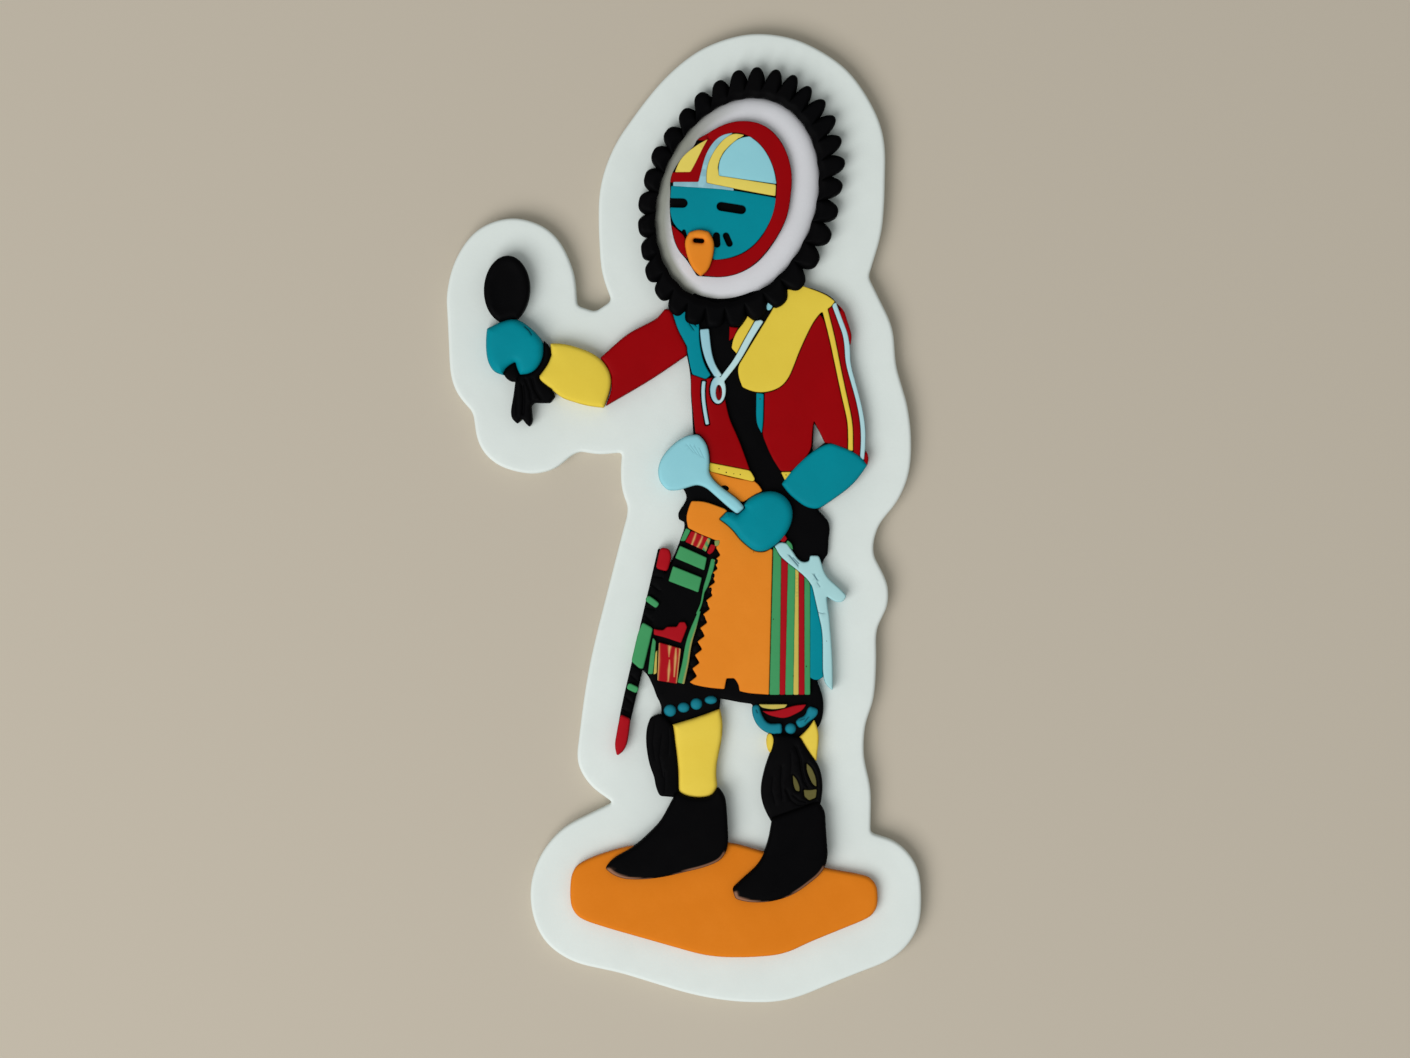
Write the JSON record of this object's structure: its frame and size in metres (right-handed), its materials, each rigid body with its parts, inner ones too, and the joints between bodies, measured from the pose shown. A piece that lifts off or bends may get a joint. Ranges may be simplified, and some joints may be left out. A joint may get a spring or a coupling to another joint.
{
  "type": "moulded kachina doll relief",
  "caption": "Flat souvenir figure of a masked dancer, moulded in coloured soft PVC relief on a white contour backing with a plain flat back.",
  "frame": {"origin": "middle of the flat back, under the centre of the outline's box", "axes": "+Z out of the relief, +Y to the head, +X to the side of the lower hand"},
  "size_m": [0.0476, 0.0972, 0.0045],
  "materials": {
    "backing_white": "soft PVC, white, fine matt grain",
    "head_grey": "soft PVC, pale grey, matt",
    "black_pvc": "soft PVC, black, satin",
    "red_pvc": "soft PVC, deep red, satin",
    "sash_red_pvc": "soft PVC, bright red, satin",
    "teal_pvc": "soft PVC, teal, satin",
    "light_blue_pvc": "soft PVC, light blue, satin",
    "pale_blue_pvc": "soft PVC, pale blue, satin",
    "yellow_pvc": "soft PVC, yellow, satin",
    "orange_pvc": "soft PVC, orange, satin",
    "deep_orange_pvc": "soft PVC, deep orange, satin",
    "green_pvc": "soft PVC, green, satin"
  },
  "bodies": {
    "root": {"backing": "backing_white", "black_ground": "black_pvc", "feather_ruff": "black_pvc", "head_disc": "head_grey", "face_ground": "black_pvc", "face_border": "red_pvc", "cheek_red": "red_pvc", "brow_yellow": "yellow_pvc", "brow_line": "pale_blue_pvc", "brow_band": "yellow_pvc", "brow_panel": "light_blue_pvc", "mask": "teal_pvc", "beak": "orange_pvc", "raised_sleeve": "red_pvc", "raised_forearm": "yellow_pvc", "raised_hand": "teal_pvc", "rattle": "black_pvc", "wrist_tie": "black_pvc", "collar": "teal_pvc", "necklace": "pale_blue_pvc", "neck_yellow": "yellow_pvc", "neck_red": "red_pvc", "shirt_left": "red_pvc", "chest_line": "pale_blue_pvc", "shirt_hem_left": "yellow_pvc", "shirt_yoke": "yellow_pvc", "shirt_right": "red_pvc", "chest_tab": "teal_pvc", "sleeve_outer": "red_pvc", "sleeve_piping": "pale_blue_pvc", "sleeve_trim": "red_pvc", "cuff": "teal_pvc", "spoon_rattle": "light_blue_pvc", "waist": "orange_pvc", "lower_hand": "teal_pvc", "kilt": "orange_pvc", "kilt_stripe_green_inner": "green_pvc", "kilt_stripe_red_inner": "sash_red_pvc", "kilt_stripe_green_middle": "green_pvc", "kilt_stripe_yellow": "yellow_pvc", "kilt_stripe_red_outer": "sash_red_pvc", "kilt_stripe_green_outer": "green_pvc", "kilt_side": "teal_pvc", "hip_ribbon": "light_blue_pvc", "sash_top_red": "sash_red_pvc", "sash_block_upper": "green_pvc", "sash_block_lower": "green_pvc", "sash_edge": "green_pvc", "sash_steps": "sash_red_pvc", "sash_streaked": "sash_red_pvc", "staff_top": "sash_red_pvc", "staff_green": "green_pvc", "staff_tip": "sash_red_pvc", "knee_lining": "sash_red_pvc", "knee_cord": "teal_pvc", "leg_left": "yellow_pvc", "leg_right_outer": "yellow_pvc", "boot_left": "black_pvc", "boot_right": "black_pvc", "ground_oval": "deep_orange_pvc"}
  },
  "joints": []
}
